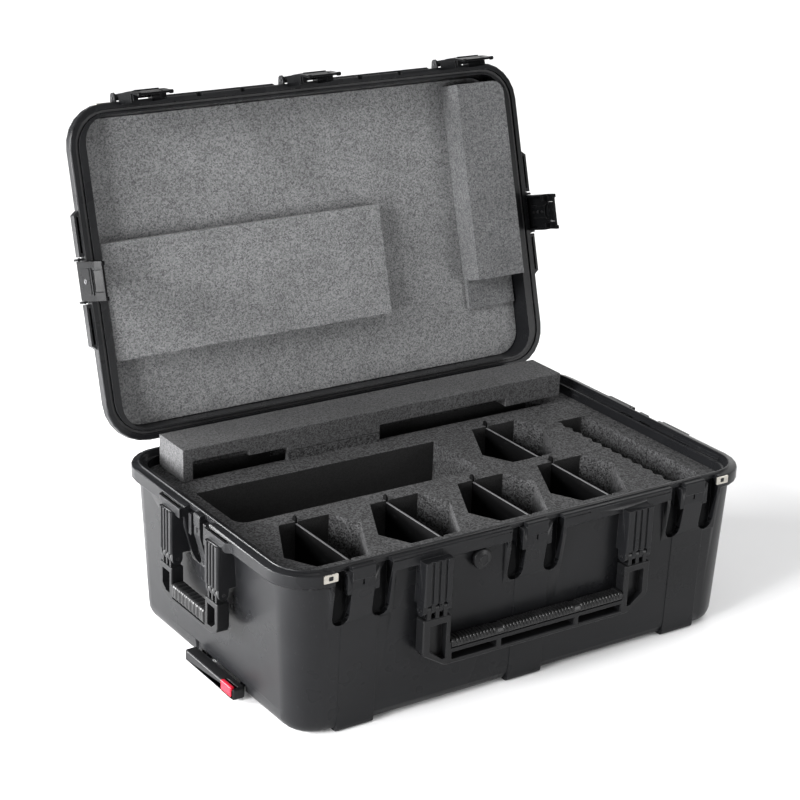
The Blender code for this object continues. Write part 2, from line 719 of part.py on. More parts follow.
def build_front_handle():
    frame, arm, _ = HANDLES["front"]
    hinge = pivot("front_handle_pivot", frame)
    outline, holes = front_handle_outline()
    handle = part("front_handle", plate(outline, -9.5, 9.5, "XZ", holes), "handle", hinge)
    soften(handle, 1.6, 1)
    add(handle, knuckles(arm, (1, 3, 5), -14.0, 0.45), "knuckles")
    pocket = [(157, -22), (184, -22), (184, -60), (163, -76), (157, -76)]
    cut(handle, together(mirrored(lambda side: arm_pocket(side, pocket))), "pockets")
    cut(handle, grip_seat(148.2, -64.3), "grip_seat")
    wrap = [(5.6, -63.9), (10.2, -63.9), (10.8, -61.9), (10.8, -54.5), (8.0, -50.6), (-8.0, -50.6),
            (-10.8, -54.5), (-10.8, -61.9), (-10.2, -63.9), (-5.6, -63.9), (-5.6, -53.6), (5.6, -53.6)]
    part("front_grip", plate(wrap, -147.8, 147.8, "YZ"), "grip", hinge)
    add_handle_pins("front", arm, frame)


def build_side_handle(label):
    frame, arm, _ = HANDLES[label]
    hinge = pivot(f"{label}_handle_pivot", frame)
    wide, narrow = arm[1] - 0.5, arm[0] + 0.5
    right = [(narrow, -37), (narrow, -12), (wide, -12), (wide, -48), (wide - 4, -55), (64, -61), (58, -62)]
    outline = right + [(-x, z) for x, z in reversed(right)]
    handle = part(f"{label}_handle", plate(outline, -9.5, 9.5, "XZ"), "handle", hinge)
    soften(handle, 1.6, 1)
    add(handle, knuckles(arm, (1, 3, 5), -14.0, 0.45), "knuckles")
    pocket = [(55, -20), (76, -20), (76, -44), (66, -52), (55, -52)]
    cut(handle, together(mirrored(lambda side: arm_pocket(side, pocket))), "pockets")
    cut(handle, grip_seat(47.2, -57.6), "grip_seat")
    wrap = [(5.6, -57.2), (10.2, -57.2), (10.8, -55), (10.8, -38), (8.0, -33.6), (-8.0, -33.6),
            (-10.8, -38), (-10.8, -55), (-10.2, -57.2), (-5.6, -57.2), (-5.6, -36.6), (5.6, -36.6)]
    part(f"{label}_grip", plate(wrap, -46.8, 46.8, "YZ"), "grip", hinge)
    add_handle_pins(label, arm, frame)


def add_handle_pins(label, arm, frame):
    """Each pin fills its bracket's knuckles from end to end and stays with the case."""
    for side, end in ((-1, "a"), (1, "b")):
        low, high = span(side * arm[0], side * arm[1])
        pin = moved(rod((low, 0, 0), (high, 0, 0), HANDLE_PIN_R, 12), frame)
        part(f"{label}_handle_pin_{end}", pin, "tube")


# ---------------------------------------------------------------- trolley and wheels

def build_trolley():
    y_low, y_high = TROLLEY_Y - TUBE_Y, TROLLEY_Y + TUBE_Y
    outer = part("trolley_outer_frame", box((66, y_low - 4, 5.5), (80, y_high + 4, 15.5)), "tube")
    sleeves = [tube((-350, y, TROLLEY_Z), (70, y, TROLLEY_Z), OUTER_TUBE_R, INNER_TUBE_R + 0.4)
               for y in (y_low, y_high)]
    add(outer, together(sleeves), "sleeves")
    for y, label in ((y_low, "front"), (y_high, "rear")):
        inner = rod((-379, y, TROLLEY_Z), (40, y, TROLLEY_Z), INNER_TUBE_R, 16)
        part(f"trolley_inner_tube_{label}", inner, "tube")
    low, high = TROLLEY_Y - 70, TROLLEY_Y + 70
    grasp = part("trolley_handle", box((-391, low, 3), (-371.5, high, 21)), "handle")
    soften(grasp, 3.0, 2)
    sockets = []
    for y in (y_low, y_high):
        sockets.append(rod((-380, y, TROLLEY_Z), (-365, y, TROLLEY_Z), INNER_TUBE_R + GAP, 16))
    cut(grasp, together(sockets), "sockets")
    cut(grasp, box((-400, low + 4, 6.5), (-381.5, low + 34, 30)), "button_seat")
    button = part("trolley_button", box((-392.5, low + 4.5, 7), (-385.5, low + 33.5, 22.5)), "button")
    soften(button, 2.0, 2)
    part("trolley_cover", box((-345, TROLLEY_Y - 61, 0), (118, TROLLEY_Y + 61, 2.6)), "shell")


def turned(centre, profile, sides):
    """A ring turned about the Y axis through centre, from a closed profile of (radius, y)."""
    rings = []
    for radius, y in profile:
        circle = ring_of((centre[0], centre[2]), radius, sides)
        rings.append([Vector((x, centre[1] + y, z)) for x, z in circle])
    return loft(rings, closed=True)


def build_wheels():
    half = WHEEL_W / 2
    rim = WHEEL_R - 7
    hub = [(AXLE_R + GAP, -half), (9, -half), (9.5, -half + 4), (rim - 4, -half + 4), (rim - 4, -half + 1),
           (rim, -half + 1), (rim, half - 1), (rim - 4, half - 1), (rim - 4, half - 4), (9.5, half - 4),
           (9, half), (AXLE_R + GAP, half)]
    tyre = [(rim + GAP, -half + 1), (WHEEL_R - 2, -half + 1), (WHEEL_R, -half + 4), (WHEEL_R, half - 4),
            (WHEEL_R - 2, half - 1), (rim + GAP, half - 1)]
    for side, label in ((-1, "front"), (1, "rear")):
        centre = (WHEEL_X, side * WHEEL_Y, WHEEL_Z)
        part(f"wheel_hub_{label}", turned(centre, hub, 20), "wheel")
        part(f"wheel_tyre_{label}", turned(centre, tyre, 24), "tyre")
        part(f"wheel_axle_{label}", axle(side, 19.0, AXLE_R), "tube")


# ---------------------------------------------------------------- foam

def trough_outline():
    """Long trough whose inner side is scalloped for a row of blades."""
    pitch, depth, x_in, x_out = 24.0, 3.2, 284.0, 339.0
    y_low, y_high, radius = -200.0, 81.0, 12.0
    points = arc((x_out - radius, y_low + radius), radius, -90, 0, 4)
    points += arc((x_out - radius, y_high - radius), radius, 0, 90, 4)
    steps = 48
    for i in range(steps + 1):
        y = y_high - (y_high - y_low) * i / steps
        points.append((x_in + depth * math.cos(2 * math.pi * y / pitch), y))
    return points


def build_base_foam():
    g = 0.4
    rows = [(357.4, 219.4, 27.5, FLOOR_Z + g), (363.1, 225.6, 33.6, 28.4), (365.1, 227.1, 35.6, 40),
            (BORE_X - g, BORE_Y - g, BORE_R - g, 200), (BORE_X - g, BORE_Y - g, BORE_R - g, FOAM_TOP)]
    foam = part("base_foam", shell(rows), "base_foam")
    cut(foam, together(wheel_boxes((310.5, 380), 22.0, (0, 65.5))), "wheel_humps")
    large = [(-340, 107)] + arc((-320, 4), 20, 180, 270, 5) + [(68, -16), (68, 107)]
    cut(foam, plate(large, POCKET_FLOOR, 240), "large_pocket")
    cells = [plate([(cx + x, cy + y) for x, y in CELL], POCKET_FLOOR, 240) for cx, cy in CELLS]
    cut(foam, together(cells), "battery_pockets")
    low, high = DIVIDER_Y
    slits = []
    for cx, cy in CELLS:
        slits.append(box((cx - 1.9, cy + low - 0.5, POCKET_FLOOR - 0.2), (cx + 1.9, cy + high + 0.5, 241)))
    cut(foam, together(slits), "divider_slits")
    cut(foam, plate(trough_outline(), 120, 240), "blade_trough")
    cut(foam, box((-322, 154, 150), (310, 199, 240)), "rear_trough")
    pad = []
    for y_low, y_high in ((REAR_Y[0] - 1, 156), (198, 199.6)):
        pad.append(box((-165, y_low, 215), (-4, y_high, 240.2)))
    add(foam, together(pad), "seam_pad")
    for index, (cx, cy) in enumerate(CELLS, 1):
        board = box((cx - 1.5, cy + low, POCKET_FLOOR + 0.2), (cx + 1.5, cy + high, 222))
        part(f"divider_{index}", board, "divider")


def build_rear_block():
    """Bridge of firm foam over the rear trough, with openings along the foot of its front face."""
    solid = box((-338, REAR_Y[0], FOAM_TOP + GAP), (338, REAR_Y[1], 276))
    block = part("rear_foam_block", solid, "rear_foam")
    foot = FOAM_TOP - 6
    openings = [(-322, foot), (-322, 256), (-230, 256), (-230, 247), (-165.5, 247), (-165.5, 240.6),
                (-3.5, 240.6), (-3.5, 252), (232, 252), (232, 238), (346, 238), (346, foot)]
    cut(block, plate(openings, REAR_Y[0] - 8, 200, "XZ"), "front_openings")


def build_lid_foam():
    g = 0.4
    sheet = [(BORE_X - 2.0 - g, BORE_Y - 2.0 - g, BORE_R, 278), (365.5 - g, 225.6 - g, 36, 297.0),
             (360 - g, 220 - g, 32, 299.8 - g)]
    lid_part("lid_foam_sheet", shell(sheet), "lid_foam")
    lid_part("lid_foam_long_block", box((-366, -47, 253), (115, 126, 278 - GAP)), "lid_foam")
    outline = [(272, 96), (272, -217)] + arc((342, -197), 20, 270, 360, 4) + [(362, 96)]
    tall = lid_part("lid_foam_tall_block", plate(outline, 232, 278 - GAP), "lid_foam")
    add(tall, moved(box((273, 90, 270), (363, 143, 278 - GAP - 0.2)), FROM_HINGE), "step")


build_base()
build_valve()
build_lid()
build_hasps()
build_hinge_pins()
for latch_name, latch_frame in LATCHES:
    build_latch(latch_name, latch_frame)
build_front_handle()
build_side_handle("left")
build_side_handle("right")
build_trolley()
build_wheels()
build_base_foam()
build_rear_block()
build_lid_foam()
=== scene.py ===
"""Looks for the wheeled drone case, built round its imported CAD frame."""

import json
import math

import bmesh
import bpy
from mathutils import Matrix, Vector, noise
from mathutils.bvhtree import BVHTree

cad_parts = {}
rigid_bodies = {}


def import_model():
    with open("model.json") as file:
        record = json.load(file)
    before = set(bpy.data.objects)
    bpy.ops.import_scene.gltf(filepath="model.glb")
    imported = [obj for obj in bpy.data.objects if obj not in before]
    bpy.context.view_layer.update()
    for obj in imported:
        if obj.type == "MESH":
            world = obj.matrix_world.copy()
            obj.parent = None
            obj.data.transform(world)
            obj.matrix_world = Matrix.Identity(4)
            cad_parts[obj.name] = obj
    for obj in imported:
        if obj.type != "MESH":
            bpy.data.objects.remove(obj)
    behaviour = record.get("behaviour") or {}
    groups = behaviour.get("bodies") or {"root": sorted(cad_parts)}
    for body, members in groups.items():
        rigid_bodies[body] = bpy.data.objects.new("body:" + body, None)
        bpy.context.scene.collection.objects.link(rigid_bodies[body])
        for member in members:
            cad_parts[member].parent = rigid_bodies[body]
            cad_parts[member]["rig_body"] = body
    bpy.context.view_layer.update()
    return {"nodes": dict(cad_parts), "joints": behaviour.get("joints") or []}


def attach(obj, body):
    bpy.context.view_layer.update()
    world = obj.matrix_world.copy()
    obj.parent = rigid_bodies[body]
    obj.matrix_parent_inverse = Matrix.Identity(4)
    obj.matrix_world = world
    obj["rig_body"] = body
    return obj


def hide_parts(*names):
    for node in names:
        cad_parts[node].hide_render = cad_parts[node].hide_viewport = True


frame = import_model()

MM = 0.001
JOINTS = {joint["name"]: joint for joint in frame["joints"]}
SCENE = bpy.context.scene
UP = Vector((0, 0, 1))
UNMOVED = Matrix.Identity(4)
TO_METRES = Matrix.Diagonal((MM, MM, MM, 1.0))

ENDS = ("left", "middle", "right")
HANDLES = ("front", "left", "right")
LATCHES = [f"latch_front_{end}" for end in ENDS] + ["latch_left", "latch_right"]


# ---------------------------------------------------------------- frames

# LID takes a place on the shut lid to the same place on the open one.
HINGE = Vector(JOINTS["lid_hinge"]["pos_m"])
OPEN_TURN = Matrix.Rotation(-math.radians(JOINTS["lid_hinge"]["range_deg"][1]), 4, "X")
LID = Matrix.Translation(HINGE) @ OPEN_TURN @ Matrix.Translation(-HINGE)
LID_UP = (OPEN_TURN @ UP).normalized()


def latch_frame(name):
    """A latch's own axes at its pin: X against the joint's axis, Y into the case, Z up the lid."""
    joint = JOINTS[name + "_hinge"]
    x_axis = -Vector(joint["axis"]).normalized()
    y_axis = LID_UP.cross(x_axis).normalized()
    turn = Matrix((x_axis, y_axis, LID_UP)).transposed().to_4x4()
    return Matrix.Translation(Vector(joint["pos_m"])) @ turn


# ---------------------------------------------------------------- shader nodes

MIX_FACTOR, MIX_FIRST, MIX_SECOND, MIX_RESULT = 0, 6, 7, 2


def node(tree, kind, inputs=None, **settings):
    """A new shader node with its settings and the values of its inputs."""
    made = tree.nodes.new(kind)
    for key, value in settings.items():
        setattr(made, key, value)
    for key, value in (inputs or {}).items():
        made.inputs[key].default_value = value
    return made


def blank(name, colour, roughness, metallic=0.0, **inputs):
    """A material, its tree and its shader; an input's name has _ for each space."""
    made = bpy.data.materials.new(name)
    made.use_nodes = True
    tree = made.node_tree
    shader = tree.nodes["Principled BSDF"]
    shader.inputs["Base Color"].default_value = (*colour, 1.0)
    shader.inputs["Roughness"].default_value = roughness
    shader.inputs["Metallic"].default_value = metallic
    for key, value in inputs.items():
        shader.inputs[key.replace("_", " ")].default_value = value
    return made, tree, shader


def coords(tree, scale=(1, 1, 1)):
    """The object's own coordinates in metres, times a scale for each axis."""
    where = node(tree, "ShaderNodeTexCoord")
    mapping = node(tree, "ShaderNodeMapping", {"Scale": scale})
    tree.links.new(where.outputs["Object"], mapping.inputs["Vector"])
    return mapping.outputs["Vector"]


def noise_of(tree, vector, scale, detail=2.0, rough=0.5):
    """Cloudy noise, with a wave about every 1 / scale metres."""
    made = node(tree, "ShaderNodeTexNoise", {"Scale": scale, "Detail": detail, "Roughness": rough})
    tree.links.new(vector, made.inputs["Vector"])
    return made.outputs["Fac"]


def cells_of(tree, vector, scale):
    """A cell pattern's node, which gives each cell's colour and the distance from its middle."""
    made = node(tree, "ShaderNodeTexVoronoi", {"Scale": scale})
    tree.links.new(vector, made.inputs["Vector"])
    return made


def ramp(tree, value, stops):
    """A value made a colour by stops of (place, colour)."""
    made = node(tree, "ShaderNodeValToRGB")
    points = made.color_ramp.elements
    while len(points) < len(stops):
        points.new(0.5)
    for point, (place, colour) in zip(points, stops):
        point.position = place
        point.color = (*colour, 1.0)
    tree.links.new(value, made.inputs["Fac"])
    return made.outputs["Color"]


def spread(tree, value, given, wanted):
    """A value taken from the given range to the wanted one, and held at its ends."""
    made = node(tree, "ShaderNodeMapRange", {"From Min": given[0], "From Max": given[1],
                                             "To Min": wanted[0], "To Max": wanted[1]})
    tree.links.new(value, made.inputs["Value"])
    return made.outputs["Result"]


def mixed(tree, amount, first, second, kind="MIX"):
    """Two colours mixed; each value is an output, a number or a plain colour."""
    made = node(tree, "ShaderNodeMix", data_type="RGBA", blend_type=kind)
    for place, value in ((MIX_FACTOR, amount), (MIX_FIRST, first), (MIX_SECOND, second)):
        if isinstance(value, float):
            made.inputs[place].default_value = value
        elif isinstance(value, tuple):
            made.inputs[place].default_value = (*value, 1.0)
        else:
            tree.links.new(value, made.inputs[place])
    return made.outputs[MIX_RESULT]


def softened(tree, radius):
    """The surface's normal with its edges rounded by a radius in metres."""
    return node(tree, "ShaderNodeBevel", {"Radius": radius}, samples=4).outputs["Normal"]


def bumped(tree, shader, layers, edge=0.0):
    """Bump layers of (height, strength, distance) over an edge rounded by edge metres."""
    last = softened(tree, edge) if edge else None
    for height, strength, distance in layers:
        bump = node(tree, "ShaderNodeBump", {"Strength": strength, "Distance": distance})
        tree.links.new(height, bump.inputs["Height"])
        if last:
            tree.links.new(last, bump.inputs["Normal"])
        last = bump.outputs["Normal"]
    tree.links.new(last, shader.inputs["Normal"])


def tinted(colour, factor, added=0.0):
    """A colour times a factor, with a little added."""
    return tuple(c * factor + added for c in colour)


# ---------------------------------------------------------------- materials

def moulded(name, colour, roughness, grain=1500.0, depth=0.35, edge=0.0011, wear_and_highlight=0.5, shine=0.3):
    """Injection-moulded plastic: pebbled skin, uneven gloss, faint scuffs, and edges painted lighter,
    partly as wear and partly as painted highlight.
    """
    made, tree, shader = blank(name, colour, roughness, Specular_IOR_Level=shine)
    place = coords(tree)
    pebble = noise_of(tree, place, grain, detail=1.5)
    patches = noise_of(tree, place, scale=11.0, detail=3.0, rough=0.6)
    scuffs = noise_of(tree, coords(tree, scale=(1.0, 0.09, 0.35)), scale=420.0)
    scuffed = spread(tree, scuffs, (0.64, 0.74), (0.0, 0.22))
    across = node(tree, "ShaderNodeVectorMath", operation="DOT_PRODUCT")
    tree.links.new(node(tree, "ShaderNodeNewGeometry").outputs["Normal"], across.inputs[0])
    tree.links.new(softened(tree, edge * 1.3), across.inputs[1])
    # Lighter edges: partly wear, partly a painted highlight along them.
    rubbed_and_highlit = spread(tree, across.outputs["Value"], (0.97, 0.80), (0.0, wear_and_highlight))
    lighter = tinted(colour, 1.9, 0.020)
    tint = mixed(tree, patches, tinted(colour, 0.8), tinted(colour, 1.25))
    tint = mixed(tree, scuffed, tint, lighter)
    tint = mixed(tree, rubbed_and_highlit, tint, lighter)
    tree.links.new(tint, shader.inputs["Base Color"])
    gloss = spread(tree, patches, (0.3, 0.7), (roughness - 0.07, roughness + 0.07))
    tree.links.new(gloss, shader.inputs["Roughness"])
    bumped(tree, shader, [(pebble, depth, 0.00012)], edge)
    return made


def foam(name, dark, light, cell, speckle=0.5, lines=0.0):
    """Closed-cell foam: cut cells of mixed grey with pores, and faint knife lines if asked."""
    made, tree, shader = blank(name, dark, roughness=0.95)
    place = coords(tree)
    clumps = noise_of(tree, place, cell * 0.45, detail=3.0, rough=0.65)
    grains = cells_of(tree, place, cell)
    grain = node(tree, "ShaderNodeSeparateColor")
    tree.links.new(grains.outputs["Color"], grain.inputs["Color"])
    value = mixed(tree, speckle, clumps, grain.outputs["Red"])
    between = tuple((a + b) / 2 for a, b in zip(dark, light))
    tint = ramp(tree, value, [(0.22, dark), (0.52, between), (0.86, light)])
    clouds = noise_of(tree, place, scale=16.0)
    tint = mixed(tree, 1.0, tint, spread(tree, clouds, (0.3, 0.7), (0.9, 1.1)), "MULTIPLY")
    tree.links.new(tint, shader.inputs["Base Color"])
    layers = [(value, 0.55, 0.0007), (grains.outputs["Distance"], 0.35, 0.0006)]
    if lines:
        cuts = noise_of(tree, coords(tree, scale=(1.0, 0.02, 0.02)), lines, detail=1.0)
        layers.append((cuts, 0.30, 0.0006))
    bumped(tree, shader, layers)
    return made


def rubber(name, colour, roughness, shine=0.5):
    """Soft rubber with a fine grain and dust in patches."""
    made, tree, shader = blank(name, colour, roughness, Specular_IOR_Level=shine)
    place = coords(tree)
    dust = noise_of(tree, place, scale=60.0, detail=4.0, rough=0.7)
    dusty = spread(tree, dust, (0.45, 0.75), (0.0, 0.5))
    tree.links.new(mixed(tree, dusty, colour, tinted(colour, 2, 0.01)), shader.inputs["Base Color"])
    bumped(tree, shader, [(noise_of(tree, place, scale=900.0), 0.4, 0.0002)], edge=0.0006)
    return made


def metal(name, colour, roughness, streaks=(1.0, 0.02, 1.0)):
    """Steel with brushed streaks and a little tarnish."""
    made, tree, shader = blank(name, colour, roughness, metallic=1.0)
    brushed = noise_of(tree, coords(tree, streaks), scale=900.0)
    tarnish = noise_of(tree, coords(tree), scale=45.0, detail=4.0, rough=0.7)
    tarnished = spread(tree, tarnish, (0.4, 0.75), (0.0, 0.6))
    tree.links.new(mixed(tree, tarnished, colour, tinted(colour, 0.62)), shader.inputs["Base Color"])
    gloss = spread(tree, brushed, (0.25, 0.75), (roughness - 0.08, roughness + 0.12))
    tree.links.new(gloss, shader.inputs["Roughness"])
    bumped(tree, shader, [(brushed, 0.15, 0.00008)], edge=0.0005)
    return made


ALONG_X = (0.02, 1.0, 1.0)
SHELL = moulded("shell_plastic", (0.0072, 0.0074, 0.0082), 0.30, shine=0.15)
LATCH = moulded("latch_plastic", (0.0032, 0.0033, 0.0036), 0.25, grain=1900.0, depth=0.22, edge=0.0007,
                wear_and_highlight=1.0, shine=0.03)
HANDLE = moulded("handle_plastic", (0.0062, 0.0063, 0.0068), 0.33, grain=1700.0, depth=0.28, edge=0.0008,
                 wear_and_highlight=0.9, shine=0.17)
GRIP = rubber("grip_rubber", (0.0070, 0.0070, 0.0073), 0.30, shine=0.20)
GASKET = rubber("gasket_rubber", (0.020, 0.020, 0.021), 0.60)
TYRE = rubber("tyre_rubber", (0.035, 0.035, 0.034), 0.78)
WHEEL = moulded("wheel_plastic", (0.022, 0.022, 0.023), 0.50)
BASE_FOAM = foam("base_foam_cells", (0.0020, 0.0020, 0.0022), (0.062, 0.062, 0.064), 480.0, speckle=0.70)
# A darker copy of the base foam for the pocket walls and floors: painted shade.
BASE_FOAM_SHADE = foam("base_foam_painted_shade", (0.0008, 0.0008, 0.0009), (0.0070, 0.0070, 0.0074), 560.0)
REAR_FOAM = foam("rear_foam_cells", (0.012, 0.012, 0.0125), (0.078, 0.078, 0.080), 620.0, lines=260.0)
REAR_END = foam("rear_foam_cut_end", (0.018, 0.018, 0.019), (0.082, 0.082, 0.084), 620.0)
LID_FOAM = foam("lid_foam_cells", (0.062, 0.063, 0.065), (0.243, 0.245, 0.248), 560.0, speckle=0.48)
# A darker copy of the lid foam for the tall block: painted shade on its face.
TALL_FOAM_SHADED = foam("tall_foam_painted_shade", (0.040, 0.041, 0.043), (0.154, 0.155, 0.158), 560.0, speckle=0.48)
DIVIDER = moulded("divider_board", (0.0022, 0.0022, 0.0024), 0.62, grain=900.0, depth=0.3, edge=0.0003,
                  wear_and_highlight=0.1, shine=0.08)
DIVIDER_EDGE = moulded("divider_edge", (0.100, 0.100, 0.103), 0.60, grain=1100.0, depth=0.5, edge=0.0003,
                       wear_and_highlight=0.2)
STEEL = metal("hasp_steel", (0.42, 0.40, 0.36), 0.28)
TUBE = metal("tube_steel", (0.56, 0.57, 0.58), 0.26, ALONG_X)
PIN = metal("pin_steel", (0.060, 0.060, 0.062), 0.38, ALONG_X)
BUTTON = moulded("button_plastic", (0.36, 0.006, 0.020), 0.30, grain=2200.0, depth=0.12, edge=0.0006,
                 wear_and_highlight=0.15)


# ---------------------------------------------------------------- shapes, in millimetres

SHARP, FLAT = math.radians(32.0), math.radians(0.6)
STRAY = 0.6  # of a rounding's width: how far its points may lie from the old surface
AXIS_RADIUS = 0.001  # a turned profile's points on the axis, which become one
PLANES = {
    "XZ": Matrix(((1, 0, 0, 0), (0, 0, -1, 0), (0, 1, 0, 0), (0, 0, 0, 1))),
    "YZ": Matrix(((0, 0, 1, 0), (1, 0, 0, 0), (0, 1, 0, 0), (0, 0, 0, 1))),
}


def moved(bm, x, y, z):
    """The same shape, shifted."""
    bmesh.ops.translate(bm, vec=(x, y, z), verts=bm.verts)
    return bm


def box(low, high):
    """A box between its lowest and highest corners."""
    low, high = Vector(low), Vector(high)
    bm = bmesh.new()
    size = Matrix.Diagonal((*(high - low), 1.0))
    bmesh.ops.create_cube(bm, size=1.0, matrix=Matrix.Translation((low + high) / 2) @ size)
    return bm


def rod(start, end, radius, sides):
    """A round rod with flat ends."""
    start, end = Vector(start), Vector(end)
    along = end - start
    turn = UP.rotation_difference(along).to_matrix().to_4x4()
    bm = bmesh.new()
    bmesh.ops.create_cone(
        bm, cap_ends=True, segments=sides, radius1=radius, radius2=radius, depth=along.length,
        matrix=Matrix.Translation((start + end) / 2) @ turn)
    return bm


def loft(rings, closed=False):
    """A skin through rings of points, with its ends capped unless it closes on itself."""
    bm = bmesh.new()
    loops = [[bm.verts.new(p) for p in ring] for ring in rings]
    count = len(loops[0])
    pairs = list(zip(loops, loops[1:]))
    if closed:
        pairs.append((loops[-1], loops[0]))
    for lower, upper in pairs:
        for i in range(count):
            j = (i + 1) % count
            bm.faces.new((lower[i], lower[j], upper[j], upper[i]))
    if not closed:
        bm.faces.new(list(reversed(loops[0])))
        bm.faces.new(loops[-1])
    return bm


def arc(centre, radius, start, end, steps):
    """Points from one angle to another, in degrees."""
    angles = [math.radians(start + (end - start) * i / steps) for i in range(steps + 1)]
    return [(centre[0] + radius * math.cos(a), centre[1] + radius * math.sin(a)) for a in angles]


def round_box(half_x, half_z, radius, steps=5):
    """A rectangle with round corners in two coordinates."""
    points = []
    for quarter, (sx, sz) in enumerate(((1, 1), (-1, 1), (-1, -1), (1, -1))):
        centre = (sx * (half_x - radius), sz * (half_z - radius))
        points += arc(centre, radius, 90 * quarter, 90 * quarter + 90, steps)
    return points


def plate(outline, low, high, plane, rim, holes=()):
    """A flat outline, with any holes, as thick as from low to high; rim rounds its edges."""
    curve = bpy.data.curves.new("outline", "CURVE")
    curve.dimensions = "2D"
    curve.fill_mode = "BOTH"
    curve.extrude = (high - low) / 2 - rim
    curve.bevel_depth = rim
    curve.bevel_resolution = 1
    curve.offset = -rim
    for order, points in enumerate((outline, *holes)):
        area = sum(a[0] * b[1] - b[0] * a[1] for a, b in zip(points, [*points[1:], points[0]]))
        if (area > 0) == (order > 0):
            points = list(reversed(points))
        spline = curve.splines.new("POLY")
        spline.points.add(len(points) - 1)
        for place, (u, v) in zip(spline.points, points):
            place.co = (u, v, 0, 1)
        spline.use_cyclic_u = True
    drawn = bpy.data.objects.new("outline", curve)
    SCENE.collection.objects.link(drawn)
    mesh = bpy.data.meshes.new_from_object(drawn.evaluated_get(bpy.context.evaluated_depsgraph_get()))
    bm = bmesh.new()
    bm.from_mesh(mesh)
    bpy.data.objects.remove(drawn)
    bpy.data.curves.remove(curve)
    bpy.data.meshes.remove(mesh)
    bmesh.ops.remove_doubles(bm, verts=bm.verts, dist=0.001)
    middle = -(low + high) / 2 if plane == "XZ" else (low + high) / 2
    bmesh.ops.transform(bm, matrix=PLANES[plane] @ Matrix.Translation((0, 0, middle)), verts=bm.verts)
    return bm


def together(shapes):
    """Several shapes as one."""
    joined = bmesh.new()
    for bm in shapes:
        mesh = bpy.data.meshes.new("scratch")
        bm.to_mesh(mesh)
        bm.free()
        joined.from_mesh(mesh)
        bpy.data.meshes.remove(mesh)
    return joined


def lathe(profile, sides):
    """A closed profile of (radius, height) turned about the Y axis; heights run against it."""
    rings = []
    for i in range(sides):
        turn = 2 * math.pi * i / sides
        rings.append([Vector((r * math.cos(turn), r * math.sin(turn), h)) for r, h in profile])
    bm = loft(rings, closed=True)
    bmesh.ops.remove_doubles(bm, verts=bm.verts, dist=0.0005)
    bmesh.ops.transform(bm, matrix=Matrix.Rotation(math.pi / 2, 4, "X"), verts=bm.verts)
    return bm


def chamfered(bm, width, segments=2):
    """Rounds the sharp edges, by less where a thin part would break."""
    skin = BVHTree.FromBMesh(bm)
    for share in (1.0, 0.5, 0.25):
        trial = bm.copy()
        sharp = [e for e in trial.edges if len(e.link_faces) == 2 and e.calc_face_angle(0.0) > SHARP]
        bmesh.ops.bevel(trial, geom=sharp, offset=width * share, segments=segments, profile=0.5,
                        affect="EDGES", clamp_overlap=False, miter_outer="ARC")
        if all(skin.find_nearest(v.co)[3] < STRAY * width * share for v in trial.verts):
            bm.free()
            return trial
        trial.free()
    return bm


def finish(name, bm, material, body, space=UNMOVED, nodes=(), smooth=32.0):
    """The mesh as a named object on its body, in metres; it replaces any CAD nodes given."""
    bmesh.ops.recalc_face_normals(bm, faces=bm.faces)
    bmesh.ops.transform(bm, matrix=space @ TO_METRES, verts=bm.verts)
    mesh = bpy.data.meshes.new(name)
    bm.to_mesh(mesh)
    bm.free()
    mesh.shade_smooth()
    mesh.set_sharp_from_angle(angle=math.radians(smooth))
    obj = bpy.data.objects.new(name, mesh)
    SCENE.collection.objects.link(obj)
    mesh.materials.append(material)
    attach(obj, body)
    if nodes:
        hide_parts(*nodes)
    even = obj.modifiers.new("even_shading", "WEIGHTED_NORMAL")
    even.keep_sharp = True
    return obj


# ---------------------------------------------------------------- copies of CAD nodes

def cad_shape(name, whole=True):
    """A CAD node's mesh welded, in millimetres, its flat faces whole again if asked."""
    bm = bmesh.new()
    bm.from_mesh(frame["nodes"][name].data)
    bmesh.ops.remove_doubles(bm, verts=bm.verts, dist=1e-6)
    bmesh.ops.scale(bm, vec=(1 / MM,) * 3, verts=bm.verts)
    if whole:
        bmesh.ops.dissolve_limit(bm, angle_limit=FLAT, verts=bm.verts, edges=bm.edges)
    return bm


def body_of(name):
    """The body that a CAD node rides on."""
    return frame["nodes"][name]["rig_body"]


def limits(name, space=UNMOVED):
    """A CAD node's low and high corners in millimetres, in the frame's axes or in a space's."""
    obj = frame["nodes"][name]
    turn = space.inverted() @ obj.matrix_world
    corners = [turn @ v.co / MM for v in obj.data.vertices]
    low = Vector([min(c[axis] for c in corners) for axis in range(3)])
    high = Vector([max(c[axis] for c in corners) for axis in range(3)])
    return low, high


def rounded_copy(name, material, width, segments=2):
    """A CAD node with its edges rounded by a width."""
    bm = chamfered(cad_shape(name), width, segments)
    return finish(name + "_rounded", bm, material, body_of(name), nodes=(name,))


# ---------------------------------------------------------------- CAD nodes that stay

def repaint(names, material):
    """Gives CAD nodes a material and leaves their shape."""
    for name in names:
        slots = frame["nodes"][name].data.materials
        slots.clear()
        slots.append(material)


repaint(["trolley_cover"], SHELL)
repaint(["lid_gasket"], GASKET)
repaint([f"hinge_pin_{end}" for end in ENDS], PIN)
repaint([f"{side}_handle_pin_{end}" for side in HANDLES for end in "ab"], PIN)
repaint([name + "_pin" for name in LATCHES], PIN)
for place in ("front", "rear"):
    repaint([f"wheel_axle_{place}", f"trolley_inner_tube_{place}"], TUBE)


# ---------------------------------------------------------------- shells

